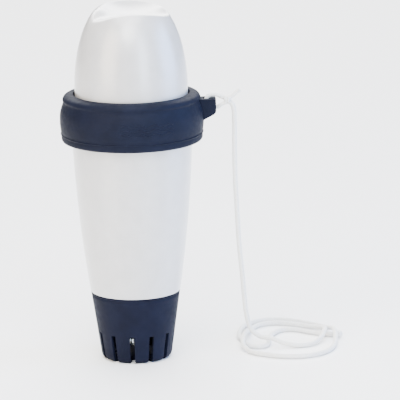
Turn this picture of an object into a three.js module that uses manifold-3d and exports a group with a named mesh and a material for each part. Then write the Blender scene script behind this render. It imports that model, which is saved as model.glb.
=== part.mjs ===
// A floating pool-water analyser: a two-shell capsule that floats upright in a bumper ring, with its
// sensors behind a slotted guard at the foot and a braided tether tied to a lug on the ring.
// Millimetres, +Z up. The origin is the middle of the guard's flat foot, and the lug points along +X.
import * as THREE from "three";
import { mergeVertices } from "three/addons/utils/BufferGeometryUtils.js";
import Module from "manifold-3d";

const wasm = await Module();
wasm.setup();

// ---- Driving dimensions -------------------------------------------------------------------------

const GAP = 0.3; // between pieces that rest on each other
const RUNNING = 0.35; // radial clearance between round pieces that slide or turn in each other
const OVERCUT = 1; // how far a cutting shape stands past the surface that it cuts

// Sensor guard, the slotted cup at the foot.
const guardHeight = 48.2;
const guardFootRadius = 24.4;
const guardRimRadius = 31.3;
const guardWall = 2.4;
const guardFloor = 2.6;
const guardFootRounding = 4;
const slotCount = 12;
const slotWidth = 3.2;
const slotTop = 20;
const slotInnerRadius = 13;
const firstSlotAngle = -96;
const ledgeHeight = 2.5;
const ledgeWidth = 3;
const footArcStart = -80; // degrees; the foot's rounding starts just off the floor

// Lower shell, the barrelled body between the guard and the ring.
const bodyHeight = 107.5;
const bodyTopRadius = 41.7;
const bodyBulge = 0.62;
const bodyOverhang = 0.2; // past the guard's rim
const shellWall = 2.4;
const neckLength = 8.2;
const neckWall = 2.4;
const neckStep = 1.5;
const shoulderDepth = 4;

// The collar joint inside the ring, where the dome plugs into the lower shell.
const flangeHeight = 4.2;
const flangeWidth = 2;
const flangeRise = 9;
const collarTopRise = 26;
const collarWall = 3.3;
const spigotWall = 2.4;
const spigotLength = 15;

// Bumper ring with its tether lug.
const ringHeight = 33.6;
const ringWidth = 8.1;
const ringFootWidth = 1.6;
const lugReach = 8.6;
const lugWidth = 12;
const lugTopDrop = 5;
const lugDepth = 10.5;
const lugChamfer = 1.6;
const lugToeRise = 1.2;
const lugSoleDrop = 0.4;
const lugHeelDrop = 4.6;
const lugHeelInset = 1;
const eyeWidth = 4.6;
const eyeFloorThickness = 1.6;
const eyeChamfer = 2;
const crossbarSize = 4.2;
const crossbarChamfer = 0.8;

// The ring's outer side from its foot to its top: inward from its widest point, and up from its foot.
const ringSide = [
  [1.6, 1.4],
  [0.9, 3.2],
  [0.5, 8],
  [0, 14],
  [0.1, 18],
  [0.9, 22.8],
  [2.3, 27],
  [2.2, 29.3],
  [3.3, 31.8],
  [5.4, 33],
];

// Upper shell, the dome with a finger scoop across its top.
const domeRadius = 39.3;
const domeStraight = 11.7;
const domeHeight = 64.5;
const domeSquareness = 2.5;
const scoopRadius = 49;
const scoopOffset = -4.5;
const scoopTurn = 10;
const scoopDepth = 15;
const domeCrown = 3.2;
const domeGrooveRise = 5; // of the seal's groove above the spigot's end

// Sealing rings.
const oRingThickness = 1.6;
const gasketThickness = 1.4;

// Removable probe.
const probeShankRadius = 9;
const probeFlangeRadius = 16;
const probeFlangeHeight = 4.2;
const probeGripRadius = 14;
const probeGripHeight = 8.5;
const probeTipRadius = 10.5;
const probeTipHeight = 16;
const probePlugRadius = 5;
const probePlugLength = 5.7;
const probeTipChamfer = 1.2;
const probeShankRise = 3.9; // of the shank's shoulder above the bulkhead
const probeGrooveOffset = 2.2; // above the bulkhead's own groove
const probeFlutes = 8;
const fluteRadius = 2.6;
const fluteOffset = 1;
const fluteStop = 1.2;
const sensorSeat = 3;
const bulbRadius = 3.6;
const bulbX = -1.6;
const stemShare = 0.7; // of the bulb's radius

// Bulkhead, ballast and electronics.
const bulkheadFlange = 3;
const bulkheadRise = 2.8; // of its lower face above the neck's lip
const plugGrooveRise = 4.5; // of its groove above that face
const bulkheadScrewCount = 3;
const screwCircleInset = 0.6;
const screwTipRise = 1.4;
const screwHeadSink = 0.1;
const screwShankRadius = 1;
const screwHeadRadius = 1.9;
const screwHeadHeight = 1.4;
const screwHeadBevel = 0.4;
const screwHeadEdge = 0.3;
const socketRadius = 12;
const socketHeight = 13.9;
const socketFlangeWidth = 4;
const socketFlangeHeight = 2;
const boardThickness = 1.6;
const probeBoardRadius = 18.5;
const ballastHeight = 20;
const ballastBore = 21;
const ballastClearance = 0.8;
const cellRadius = 13.1;
const cellLength = 50;
const cellBevel = 0.6;
const cellCapRadius = 3.2;
const cellCapHeight = 1.5;
const contactThickness = 0.5;
const contactInset = 2;
const contactHalfDepth = 8;
const frameThickness = 2;
const frameClearance = 0.8; // behind the cells
const shelfThickness = 2.6;
const shelfInset = 0.4;
const frameHeight = 118;
const wallClearance = 6.6; // from the wall's rear corners to the collar that they pass through
const boardWidth = 40;
const boardHeight = 96;
const boardRise = 18; // above the lower shelf
const boardScrewInset = 5;
const boardScrewTipInset = 0.6;
const standoffHeight = 1.7;
const standoffRadius = 2.8;
const antennaRadius = 2.2;
const antennaLength = 26;
const antennaX = -12;
const ribbonWidth = 12;
const ribbonThickness = 0.8;
const ribbonSetback = 1.2;

// Tether, a braided cord with a spliced loop round the lug's crossbar.
const cordDiameter = 3.4;
const loopDiameter = 3;
const tailDiameter = 2.6;
const hitchRadius = 3;
const endKnotRadius = 2.9;

// How finely round shapes are faceted.
const largeSides = 40;
const mediumSides = 24;
const smallSides = 12;
const fluteSides = 10;
const scoopSides = 120;
const sealSides = 6;
const bendSteps = 4;
const cordSides = 8;
const cordSteps = 78;
const loopSteps = 20;
const tailSteps = 4;
const knotSides = 14;
const knotRows = 10;
const weldDistance = 1e-4;

// ---- Levels and radii that follow from them -----------------------------------------------------

const bodyFloor = guardHeight + GAP;
const bodyTop = bodyFloor + bodyHeight;
const bodyFloorRadius = guardRimRadius + bodyOverhang;
const neckBottom = bodyFloor - neckLength;
const neckRadius = bodyFloorRadius - shellWall - neckStep;
const neckBore = neckRadius - neckWall;
const shoulderTop = bodyFloor + shoulderDepth;

const ringBottom = bodyTop;
const ringTop = ringBottom + ringHeight;
const flangeBottom = ringBottom + flangeRise;
const flangeTop = flangeBottom + flangeHeight;
const flangeRadius = bodyTopRadius + flangeWidth;
const collarTop = ringBottom + collarTopRise;
const collarBore = domeRadius - shellWall;
const collarRadius = collarBore + collarWall;
const spigotRadius = collarBore - RUNNING;
const spigotBore = spigotRadius - spigotWall;
const spigotBottom = collarTop - spigotLength;
const domeBottom = collarTop + GAP;
const domeShoulder = domeBottom + domeStraight;
const domeApex = domeShoulder + domeHeight;
const scoopFloor = domeApex - scoopDepth;

const radians = THREE.MathUtils.degToRad;
const guardOuter = (z) => THREE.MathUtils.mapLinear(z, 0, guardHeight, guardFootRadius, guardRimRadius);

// The body's outer radius: a straight taper with a barrel bulge.
function bodyOuter(z) {
  const share = (z - bodyFloor) / bodyHeight;
  const rise = share * (1 + bodyBulge * (1 - share));
  return bodyFloorRadius + (bodyTopRadius - bodyFloorRadius) * rise;
}

// The dome's outer radius: straight, then a superellipse that is squarer than a ball.
function domeOuter(z, radius = domeRadius, height = domeHeight) {
  const share = Math.min(1, Math.max(0, (z - domeShoulder) / height));
  return radius * Math.pow(1 - share * share, 1 / domeSquareness);
}

// ---- Shape helpers ------------------------------------------------------------------------------

// A closed body of revolution about Z from an outline of [radius, height] points. One that meets the
// axis does so at two points in a row, and its profile starts and ends there.
function revolve(outline, sides = largeSides) {
  const points = outline.map(([r, z]) => new THREE.Vector2(r, z));
  if (THREE.ShapeUtils.isClockWise(points)) points.reverse();
  const start = points.findIndex((point, i) => point.x === 0 && points.at(i - 1).x === 0);
  if (start > 0) points.push(...points.splice(0, start));
  if (start < 0) points.push(points[0].clone());
  return new THREE.LatheGeometry(points, sides).rotateX(Math.PI / 2);
}

// A round bar along Z between two heights, moved to x, y.
function barZ(radius, low, high, x = 0, y = 0, sides = smallSides) {
  const bar = new THREE.CylinderGeometry(radius, radius, high - low, sides).rotateX(Math.PI / 2);
  return bar.translate(x, y, (low + high) / 2);
}

// A round bar along Y between two depths, at x, z.
function barY(radius, near, far, x, z, sides = smallSides) {
  return new THREE.CylinderGeometry(radius, radius, far - near, sides).translate(x, (near + far) / 2, z);
}

// A box between two corners.
function block([x0, y0, z0], [x1, y1, z1]) {
  const box = new THREE.BoxGeometry(x1 - x0, y1 - y0, z1 - z0);
  return box.translate((x0 + x1) / 2, (y0 + y1) / 2, (z0 + z1) / 2);
}

// A plate of even thickness about the XZ plane, from an outline of [x, z] points.
function plate(outline, thickness) {
  const shape = new THREE.Shape(outline.map(([x, z]) => new THREE.Vector2(x, z)));
  const flat = new THREE.ExtrudeGeometry(shape, { depth: thickness, bevelEnabled: false });
  return flat.rotateX(Math.PI / 2).translate(0, thickness / 2, 0);
}

// A ring of round section about Z.
function roundRing(middleRadius, thickness, height) {
  const ring = new THREE.TorusGeometry(middleRadius, thickness / 2, sealSides, largeSides);
  return ring.translate(0, 0, height);
}

// A round cord along a smooth curve.
function cord(points, diameter, steps) {
  const section = new THREE.Shape();
  for (let side = 0; side < cordSides; side++) {
    const angle = (2 * Math.PI * side) / cordSides;
    const corner = [Math.cos(angle) * (diameter / 2), Math.sin(angle) * (diameter / 2)];
    if (side === 0) section.moveTo(...corner);
    else section.lineTo(...corner);
  }
  section.closePath();
  const extrudePath = new THREE.CatmullRomCurve3(points.map((p) => new THREE.Vector3(...p)));
  return new THREE.ExtrudeGeometry(section, { steps, extrudePath, curveSegments: 1 });
}

// Points of a quarter circle between two directions, in degrees from +r towards +z.
function arc(centreR, centreZ, radius, from, to, steps) {
  const points = [];
  for (let i = 0; i <= steps; i++) {
    const angle = radians(from + ((to - from) * i) / steps);
    points.push([centreR + radius * Math.cos(angle), centreZ + radius * Math.sin(angle)]);
  }
  return points;
}

// Points of an outline that follows radiusAt from one height to another.
function flank(radiusAt, from, to, steps) {
  const points = [];
  for (let i = 0; i <= steps; i++) {
    const z = from + ((to - from) * i) / steps;
    points.push([radiusAt(z), z]);
  }
  return points;
}

function solid(geometry) {
  const bare = geometry.index ? geometry.toNonIndexed() : geometry.clone();
  bare.deleteAttribute("normal");
  bare.deleteAttribute("uv");
  const merged = mergeVertices(bare, weldDistance);
  return new wasm.Manifold(
    new wasm.Mesh({
      numProp: 3,
      vertProperties: merged.attributes.position.array,
      triVerts: new Uint32Array(merged.index.array),
    }),
  );
}

function surface(body) {
  const mesh = body.getMesh();
  const geometry = new THREE.BufferGeometry();
  geometry.setAttribute("position", new THREE.BufferAttribute(mesh.vertProperties, 3));
  geometry.setIndex(new THREE.BufferAttribute(mesh.triVerts, 1));
  return geometry;
}

// The first geometry with the added ones joined to it and then the cut ones taken away.
function carve(base, { add = [], cut = [] }) {
  let body = solid(base);
  for (const extra of add) body = body.add(solid(extra));
  for (const tool of cut) body = body.subtract(solid(tool));
  return surface(body);
}

// count copies of what make(angle in degrees, number) returns, evenly round Z.
function around(count, make, first = 0) {
  return Array.from({ length: count }, (_, i) => make(first + (360 * i) / count, i + 1));
}

// ---- Materials ----------------------------------------------------------------------------------

const finish = (color, roughness, metalness = 0) =>
  new THREE.MeshStandardMaterial({ color, roughness, metalness });

const pearl = finish(0xe6e7ea, 0.3);
const navy = finish(0x38466a, 0.6);
const seal = finish(0x1d1f22, 0.75);
const graphite = finish(0x2b2e33, 0.55);
const steel = finish(0xb4b7bb, 0.35, 1);
const brass = finish(0xc9a24b, 0.3, 1);
const iron = finish(0x55585c, 0.6, 1);
const boardGreen = finish(0x1f5a3c, 0.5);
const chip = finish(0x17181a, 0.45);
const cell = finish(0x2f6fa8, 0.4);
const glass = finish(0xd8e6ea, 0.05);
const ceramic = finish(0xe9e4d8, 0.8);
const braid = finish(0xf3f3f1, 0.85);
const ribbonGrey = finish(0x9a9da3, 0.6);

const analyser = new THREE.Group();

function place(name, geometry, material, home = analyser) {
  const mesh = new THREE.Mesh(geometry, material);
  mesh.name = name;
  home.add(mesh);
}

// ---- Sensor guard and its gasket ----------------------------------------------------------------

const ledgeTop = neckBottom - GAP - gasketThickness - GAP;
const ledgeBottom = ledgeTop - ledgeHeight;
const guardBore = neckRadius + RUNNING;
const ledgeRadius = guardBore - ledgeWidth;

function sensorGuard() {
  const foot = guardOuter(guardFootRounding) - guardFootRounding;
  const innerFloor = guardFloor + guardFootRounding / 2;
  const cup = revolve([
    [0, 0],
    [foot - guardFootRounding / 8, 0],
    ...arc(foot, guardFootRounding, guardFootRounding, footArcStart, 0, bendSteps),
    [guardRimRadius, guardHeight],
    [guardBore, guardHeight],
    [guardBore, ledgeTop],
    [ledgeRadius, ledgeTop],
    [ledgeRadius, ledgeBottom],
    [guardOuter(ledgeBottom - ledgeWidth / 2) - guardWall, ledgeBottom - ledgeWidth / 2],
    [guardOuter(innerFloor) - guardWall, innerFloor],
    [guardOuter(0) - guardWall - guardFootRounding / 2, guardFloor],
    [0, guardFloor],
  ]);
  const slots = around(
    slotCount,
    (angle) =>
      block(
        [slotInnerRadius, -slotWidth / 2, -OVERCUT],
        [guardRimRadius + OVERCUT, slotWidth / 2, slotTop],
      ).rotateZ(radians(angle)),
    firstSlotAngle,
  );
  return carve(cup, { cut: slots });
}

place("sensor_guard", sensorGuard(), navy);
place(
  "guard_gasket",
  revolve([
    [ledgeRadius + GAP, ledgeTop + GAP],
    [neckRadius - GAP, ledgeTop + GAP],
    [neckRadius - GAP, ledgeTop + GAP + gasketThickness],
    [ledgeRadius + GAP, ledgeTop + GAP + gasketThickness],
  ]),
  seal,
);

// ---- Lower shell --------------------------------------------------------------------------------

const screwCircle = neckBore + (bodyFloorRadius - neckBore) / 3 - screwCircleInset;
const bulkheadBottom = neckBottom + bulkheadRise;
const bulkheadSeat = shoulderTop + GAP;
const bulkheadTop = bulkheadSeat + bulkheadFlange;
const screwHeadTop = bulkheadTop - screwHeadSink;
const screwTip = bodyFloor + screwTipRise;

const bulkheadScrewHole = (radius, low, high) =>
  around(bulkheadScrewCount, (angle) =>
    barZ(radius, low, high, screwCircle).rotateZ(radians(angle)),
  );

function lowerShell() {
  const inner = (z) => bodyOuter(z) - shellWall;
  const taperTop = flangeBottom - flangeWidth;
  const shell = revolve([
    [neckBore, neckBottom],
    [neckRadius, neckBottom],
    [neckRadius, bodyFloor],
    ...flank(bodyOuter, bodyFloor, bodyTop, 6),
    [bodyTopRadius, flangeBottom],
    [flangeRadius, flangeBottom],
    [flangeRadius, flangeTop],
    [collarRadius, flangeTop],
    [collarRadius, collarTop],
    [collarBore, collarTop],
    [collarBore, taperTop],
    [inner(bodyTop) - shellWall, taperTop - shellWall],
    ...flank(inner, bodyTop - shellWall * 2, shoulderTop, 3),
    [neckBore, shoulderTop],
  ]);
  return carve(shell, { cut: bulkheadScrewHole(screwShankRadius + GAP, screwTip - GAP, bulkheadTop) });
}

place("lower_shell", lowerShell(), pearl);

// ---- Bulkhead, its O-ring and screws ------------------------------------------------------------

const probeBore = probeShankRadius + RUNNING;
const plugRadius = neckBore - RUNNING;
const plugGroove = bulkheadBottom + plugGrooveRise;

// A groove for an O-ring in a round plug, as outline points going down at the plug's radius.
function groove(radius, middle) {
  const half = oRingThickness / 2 + GAP;
  const floor = radius - oRingThickness - 1.5 * GAP;
  return [
    [radius, middle + half],
    [floor, middle + half],
    [floor, middle - half],
    [radius, middle - half],
  ];
}

const grooveRingRadius = (radius) => radius - oRingThickness / 2 - GAP / 2;

function sensorBulkhead() {
  const flangeEdge = bodyOuter(bulkheadSeat) - shellWall - RUNNING;
  const disc = revolve([
    [probeBore, bulkheadTop],
    [flangeEdge, bulkheadTop],
    [flangeEdge, bulkheadSeat],
    [plugRadius, bulkheadSeat],
    ...groove(plugRadius, plugGroove),
    [plugRadius, bulkheadBottom],
    [probeBore, bulkheadBottom],
  ]);
  const seatBottom = screwHeadTop - screwHeadHeight - GAP;
  const seats = bulkheadScrewHole(screwHeadRadius + GAP, seatBottom, bulkheadTop + OVERCUT);
  const holes = bulkheadScrewHole(screwShankRadius + GAP, bulkheadBottom, bulkheadTop);
  return carve(disc, { cut: [...holes, ...seats] });
}

// A pan-head screw along Z with its head up.
const screw = (tip, headTop) =>
  revolve(
    [
      [0, tip],
      [screwShankRadius, tip],
      [screwShankRadius, headTop - screwHeadHeight],
      [screwHeadRadius, headTop - screwHeadHeight],
      [screwHeadRadius, headTop - screwHeadEdge],
      [screwHeadRadius - screwHeadBevel, headTop],
      [0, headTop],
    ],
    smallSides,
  );

place("sensor_bulkhead", sensorBulkhead(), graphite);
place("bulkhead_o_ring", roundRing(grooveRingRadius(plugRadius), oRingThickness, plugGroove), seal);
around(bulkheadScrewCount, (angle, number) =>
  place(
    "bulkhead_screw_" + number,
    screw(screwTip, screwHeadTop).translate(screwCircle, 0, 0).rotateZ(radians(angle)),
    steel,
  ),
);

// ---- Probe and its sensors ----------------------------------------------------------------------

const probeFlangeTop = bulkheadBottom - GAP;
const probeFlangeBottom = probeFlangeTop - probeFlangeHeight;
const gripBottom = probeFlangeBottom - probeGripHeight;
const probeTip = gripBottom - probeTipHeight;
const probeShoulder = bulkheadTop + GAP + probeShankRise;
const probeTop = probeShoulder + probePlugLength;
const probeGroove = plugGroove + probeGrooveOffset;

// Each sensing element: name, x, y, radius, how far it stands out of the tip, material.
const sensors = [
  ["orp_pin", 5.6, 0, 0.9, 3.2, brass],
  ["conductivity_pin_1", 2.2, 5.4, 0.9, 3.6, steel],
  ["conductivity_pin_2", 2.2, -5.4, 0.9, 3.6, steel],
  ["temperature_pin", -5.9, 4.4, 1.3, 4.4, steel],
  ["reference_junction", -5.9, -4.4, 1.5, 0.8, ceramic],
];
const stemRadius = bulbRadius * stemShare;

function probeBody() {
  const body = revolve(
    [
      [0, probeTip],
      [probeTipRadius - probeTipChamfer, probeTip],
      [probeTipRadius, probeTip + probeTipChamfer],
      [probeTipRadius, gripBottom],
      [probeGripRadius, gripBottom],
      [probeGripRadius, probeFlangeBottom],
      [probeFlangeRadius, probeFlangeBottom],
      [probeFlangeRadius, probeFlangeTop],
      [probeShankRadius, probeFlangeTop],
      ...groove(probeShankRadius, probeGroove).reverse(),
      [probeShankRadius, probeShoulder],
      [probePlugRadius, probeShoulder],
      [probePlugRadius, probeTop],
      [0, probeTop],
    ],
    mediumSides,
  );
  const fluteTop = probeFlangeBottom - fluteStop;
  const fluteX = probeGripRadius + fluteOffset;
  const flutes = around(probeFlutes, (angle) =>
    barZ(fluteRadius, gripBottom - OVERCUT, fluteTop, fluteX, 0, fluteSides).rotateZ(radians(angle)),
  );
  const seat = (radius, x, y) =>
    barZ(radius + GAP, probeTip - OVERCUT, probeTip + sensorSeat + GAP, x, y);
  const seats = sensors.map(([, x, y, radius]) => seat(radius, x, y));
  return carve(body, { cut: [...flutes, ...seats, seat(stemRadius, bulbX, 0)] });
}

// The pH glass: a stem in the probe's tip that swells to a round bulb below it.
function phBulb() {
  const middle = probeTip - GAP - bulbRadius * 0.9;
  return revolve(
    [
      [0, middle - bulbRadius],
      ...arc(0, middle, bulbRadius, -60, 30, bendSteps),
      [stemRadius, middle + bulbRadius * 0.8],
      [stemRadius, probeTip + sensorSeat],
      [0, probeTip + sensorSeat],
    ],
    smallSides,
  ).translate(bulbX, 0, 0);
}

place("probe_body", probeBody(), graphite);
place("probe_o_ring", roundRing(grooveRingRadius(probeShankRadius), oRingThickness, probeGroove), seal);
place("ph_bulb", phBulb(), glass);
for (const [name, x, y, radius, reach, material] of sensors)
  place(name, barZ(radius, probeTip - reach, probeTip + sensorSeat, x, y), material);

// ---- Socket, probe board and ballast ------------------------------------------------------------

const socketBottom = bulkheadTop + GAP;
const socketTop = socketBottom + socketHeight;
const probeBoardBottom = socketTop + GAP;
const ballastBottom = bulkheadTop + GAP;
const ballastTop = ballastBottom + ballastHeight;
const ballastOuter = (z) => bodyOuter(z) - shellWall - ballastClearance;

place(
  "probe_socket",
  revolve(
    [
      [probeBore, socketBottom],
      [socketRadius + socketFlangeWidth, socketBottom],
      [socketRadius + socketFlangeWidth, socketBottom + socketFlangeHeight],
      [socketRadius, socketBottom + socketFlangeHeight],
      [socketRadius, socketTop],
      [0, socketTop],
      [0, probeTop + GAP],
      [probePlugRadius + GAP, probeTop + GAP],
      [probePlugRadius + GAP, probeShoulder + GAP],
      [probeBore, probeShoulder + GAP],
    ],
    mediumSides,
  ),
  graphite,
);
place(
  "probe_board",
  barZ(probeBoardRadius, probeBoardBottom, probeBoardBottom + boardThickness, 0, 0, mediumSides),
  boardGreen,
);
place(
  "ballast_ring",
  revolve([
    [ballastBore, ballastBottom],
    [ballastOuter(ballastBottom), ballastBottom],
    [ballastOuter(ballastTop), ballastTop],
    [ballastBore, ballastTop],
  ]),
  iron,
);

// ---- Chassis with its cells ---------------------------------------------------------------------

const shelfBottom = ballastTop + GAP;
const contactBottom = shelfBottom + shelfThickness + GAP;
const cellBottom = contactBottom + contactThickness + GAP;
const cellTop = cellBottom + cellLength;
const topContact = cellTop + GAP;
const topShelf = topContact + contactThickness + GAP;
const frameFront = cellRadius + frameClearance;
const frameBack = frameFront + frameThickness;
const wallHalfWidth = Math.sqrt((collarBore - wallClearance) ** 2 - frameBack ** 2);
const shelfHalfWidth = 2 * cellRadius - shelfInset;
const boardFront = frameBack + standoffHeight + GAP;
const boardBack = boardFront + boardThickness;
const boardBottom = shelfBottom + shelfThickness + boardRise;
const boardTop = boardBottom + boardHeight;
const holeHeights = [boardBottom + boardScrewInset, shelfBottom + frameHeight - boardScrewInset];
const boardHoles = holeHeights.flatMap((z) =>
  [-1, 1].map((side) => [side * (boardWidth / 2 - boardScrewInset), z]),
);
const boardScrewTip = frameFront + boardScrewTipInset;

function chassisFrame() {
  const wall = block(
    [-wallHalfWidth, frameFront, shelfBottom],
    [wallHalfWidth, frameBack, shelfBottom + frameHeight],
  );
  const shelf = (bottom) =>
    block(
      [-shelfHalfWidth, -cellRadius, bottom],
      [shelfHalfWidth, frameBack - frameThickness / 2, bottom + shelfThickness],
    );
  const standoffs = boardHoles.map(([x, z]) =>
    barY(standoffRadius, frameBack - frameThickness / 2, frameBack + standoffHeight, x, z),
  );
  const holes = boardHoles.map(([x, z]) =>
    barY(screwShankRadius + GAP, frameFront - OVERCUT, boardBack, x, z),
  );
  return carve(wall, { add: [shelf(shelfBottom), shelf(topShelf), ...standoffs], cut: holes });
}

const contactHalfWidth = 2 * cellRadius - contactInset;
const contactPlate = (bottom) =>
  block(
    [-contactHalfWidth, -contactHalfDepth, bottom],
    [contactHalfWidth, contactHalfDepth, bottom + contactThickness],
  );

// A dry cell with its raised positive cap, standing at x.
function dryCell(x) {
  const sleeveTop = cellTop - cellCapHeight;
  return revolve(
    [
      [0, cellBottom],
      [cellRadius - cellBevel, cellBottom],
      [cellRadius, cellBottom + cellBevel],
      [cellRadius, sleeveTop - cellBevel],
      [cellRadius - cellBevel, sleeveTop],
      [cellCapRadius, sleeveTop],
      [cellCapRadius, cellTop],
      [0, cellTop],
    ],
    mediumSides,
  ).translate(x, 0, 0);
}

place("chassis_frame", chassisFrame(), graphite);
place("cell_contact_bottom", contactPlate(contactBottom), brass);
place("cell_contact_top", contactPlate(topContact), brass);
[-1, 1].forEach((side, i) =>
  place("battery_cell_" + (i + 1), dryCell(side * (cellRadius + GAP)), cell),
);

// ---- Main board ---------------------------------------------------------------------------------

const onBoard = boardBack + GAP;

// Each component on the board: name, x, height above the board's lower edge, width, height, depth,
// material.
const components = [
  ["microcontroller", 0, 38, 10, 10, 1.2, chip],
  ["radio_shield", -4, 66, 24, 22, 3, steel],
  ["status_led", 14, boardHeight - 8, 3.2, 2.2, 1.4, glass],
];

function mainBoard() {
  const sheet = block([-boardWidth / 2, boardFront, boardBottom], [boardWidth / 2, boardBack, boardTop]);
  const holes = boardHoles.map(([x, z]) =>
    barY(screwShankRadius + GAP, boardFront - OVERCUT, boardBack + OVERCUT, x, z),
  );
  return carve(sheet, { cut: holes });
}

place("main_board", mainBoard(), boardGreen);
for (const [name, x, rise, width, height, depth, material] of components) {
  const z = boardBottom + rise;
  const shape = block(
    [x - width / 2, onBoard, z - height / 2],
    [x + width / 2, onBoard + depth, z + height / 2],
  );
  place(name, shape, material);
}
place(
  "antenna",
  barZ(antennaRadius, boardTop + GAP, boardTop + antennaLength, antennaX, boardBack - boardThickness / 2),
  chip,
);
boardHoles.forEach(([x, z], i) =>
  place(
    "board_screw_" + (i + 1),
    screw(boardScrewTip, onBoard + screwHeadHeight).rotateX(-Math.PI / 2).translate(x, 0, z),
    steel,
  ),
);

const ribbonFront = (boardFront + boardBack - ribbonThickness) / 2 - ribbonSetback;
place(
  "sensor_ribbon",
  block(
    [-ribbonWidth / 2, ribbonFront, probeBoardBottom + boardThickness + GAP],
    [ribbonWidth / 2, ribbonFront + ribbonThickness, boardBottom - GAP],
  ),
  ribbonGrey,
);

// ---- Dome and its O-ring ------------------------------------------------------------------------

const domeGroove = spigotBottom + domeGrooveRise;

function upperShell() {
  const innerTop = scoopFloor - domeCrown;
  const innerHeight = domeHeight - shellWall;
  const inner = (z) => domeOuter(z, domeRadius - shellWall, innerHeight);
  const lowerBandTop = domeApex - domeHeight * 0.4;
  const crownBandBottom = domeApex - domeHeight * 0.3;
  const crownBandTop = domeApex - domeHeight * 0.06;
  const shell = revolve([
    [spigotBore, spigotBottom],
    ...groove(spigotRadius, domeGroove).reverse(),
    [spigotRadius, domeBottom],
    [domeRadius, domeBottom],
    ...flank(domeOuter, domeShoulder, lowerBandTop, bendSteps),
    ...flank(domeOuter, crownBandBottom, crownBandTop, bendSteps),
    [0, domeApex],
    [0, innerTop],
    ...flank(inner, innerTop, domeShoulder, 5),
    [spigotBore, domeBottom + shellWall * 2],
  ]);
  const scoop = new THREE.CylinderGeometry(scoopRadius, scoopRadius, domeRadius * 4, scoopSides)
    .rotateZ(Math.PI / 2)
    .translate(0, scoopOffset, scoopFloor + scoopRadius)
    .rotateZ(radians(scoopTurn));
  return carve(shell, { cut: [scoop] });
}

place("upper_shell", upperShell(), pearl);
place("dome_o_ring", roundRing(grooveRingRadius(spigotRadius), oRingThickness, domeGroove), seal);

// ---- Bumper ring with its lug -------------------------------------------------------------------

const ringBore = bodyTopRadius + RUNNING;
const ringOuter = ringBore + ringWidth;
const lugTop = ringTop - lugTopDrop;
const lugBottom = lugTop - lugDepth;
const lugEnd = ringOuter + lugReach;
const eyeInner = lugEnd - crossbarSize - eyeWidth;
const eyeFloor = lugBottom + eyeFloorThickness;
const crossbarBottom = lugTop - crossbarSize;

function fasteningRing() {
  const grooveLow = flangeBottom - RUNNING;
  const grooveHigh = flangeTop + RUNNING;
  const topBore = collarRadius + RUNNING;
  const ring = revolve([
    [ringBore, ringBottom],
    [ringBore + ringFootWidth, ringBottom],
    ...ringSide.map(([inward, up]) => [ringOuter - inward, ringBottom + up]),
    [topBore, ringTop],
    [topBore, grooveHigh],
    [flangeRadius + RUNNING, grooveHigh],
    [flangeRadius + RUNNING, grooveLow],
    [ringBore, grooveLow],
  ]);
  const root = ringOuter - ringWidth / 2;
  const lug = plate(
    [
      [root, lugTop],
      [lugEnd - lugChamfer, lugTop],
      [lugEnd, lugTop - lugChamfer],
      [lugEnd, lugBottom + lugToeRise],
      [lugEnd - lugChamfer, lugBottom - lugSoleDrop],
      [ringOuter - lugHeelInset, lugBottom - lugHeelDrop],
      [root, lugBottom - lugHeelDrop],
    ],
    lugWidth,
  );
  const eye = plate(
    [
      [eyeInner, lugTop + OVERCUT],
      [eyeInner, eyeFloor + eyeChamfer],
      [eyeInner + eyeChamfer, eyeFloor],
      [lugEnd + OVERCUT, eyeFloor],
      [lugEnd + OVERCUT, crossbarBottom],
      [eyeInner + eyeWidth + crossbarChamfer, crossbarBottom],
      [eyeInner + eyeWidth, crossbarBottom + crossbarChamfer],
      [eyeInner + eyeWidth, lugTop + OVERCUT],
    ],
    eyeWidth,
  );
  return carve(ring, { add: [lug], cut: [eye] });
}

place("fastening_ring", fasteningRing(), navy);

// ---- Tether -------------------------------------------------------------------------------------

const hitch = [66.6, 0, 183];

// The loop that goes from the hitch over the crossbar, down through the eye and back out to the hitch.
const loopRoute = [
  [62.9, 1, 185],
  [60.2, 0.6, 186.4],
  [56.6, 0, 187],
  [53.2, 0, 185.9],
  [51.9, 0, 182.6],
  [52.7, 0, 179],
  [55.6, 0, 177.6],
  [59.2, -0.4, 177.9],
  [62.4, -1, 179.8],
];

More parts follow.
